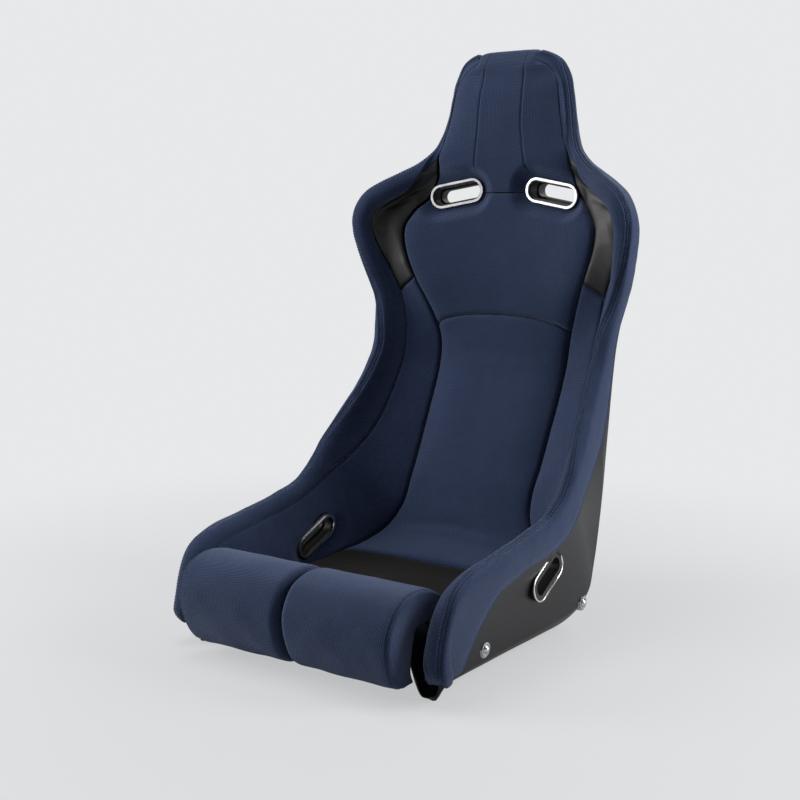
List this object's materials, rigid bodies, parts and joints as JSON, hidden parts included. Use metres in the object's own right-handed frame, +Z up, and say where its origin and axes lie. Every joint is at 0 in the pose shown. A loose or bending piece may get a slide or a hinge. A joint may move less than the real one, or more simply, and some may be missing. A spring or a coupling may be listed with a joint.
{
  "type": "racing seat",
  "caption": "Fixed-back bucket racing seat: black moulded shell, navy cloth pads and padded edge, harness slots for shoulder and lap belts, side mounting bolts.",
  "frame": {"origin": "centre of the base, on the floor plane, midway between the frontmost and rearmost points", "axes": "+X towards the side that the picture shows on the right, +Y from the front edge of the seat towards the backrest, +Z up"},
  "size_m": [0.5482, 0.6185, 0.9332],
  "materials": {
    "shell_black": "satin moulded fibre-reinforced plastic",
    "cloth_navy": "woven, with a fine diagonal pattern",
    "leatherette_black": "smooth leatherette",
    "suede_black": "suede-like nap",
    "bezel_black": "moulded, matte",
    "ring_silver": "bright",
    "ring_dark": "satin, dark",
    "insert_steel": "turned",
    "bolt_chrome": "bright"
  },
  "bodies": {
    "root": {"shell": "shell_black", "edge_trim_left": "cloth_navy", "edge_trim_right": "cloth_navy", "side_panel_left": "cloth_navy", "side_panel_right": "cloth_navy", "lower_back_cushion": "cloth_navy", "upper_back_cushion": "cloth_navy", "headrest_pad": "cloth_navy", "thigh_pad_left": "cloth_navy", "thigh_pad_right": "cloth_navy", "shoulder_insert_left": "leatherette_black", "shoulder_insert_right": "leatherette_black", "seat_pad": "suede_black", "shoulder_bezel_left": "bezel_black", "shoulder_bezel_right": "bezel_black", "shoulder_rear_bezel_left": "bezel_black", "shoulder_rear_bezel_right": "bezel_black", "lap_bezel_left": "bezel_black", "lap_bezel_right": "bezel_black", "lap_outer_bezel_left": "bezel_black", "lap_outer_bezel_right": "bezel_black", "shoulder_ring_left": "ring_silver", "shoulder_ring_right": "ring_silver", "lap_ring_left": "ring_dark", "lap_ring_right": "ring_dark", "mount_inserts_left": "insert_steel", "mount_inserts_right": "insert_steel", "mount_bolts": "bolt_chrome", "mount_washers": "bolt_chrome"}
  },
  "joints": []
}
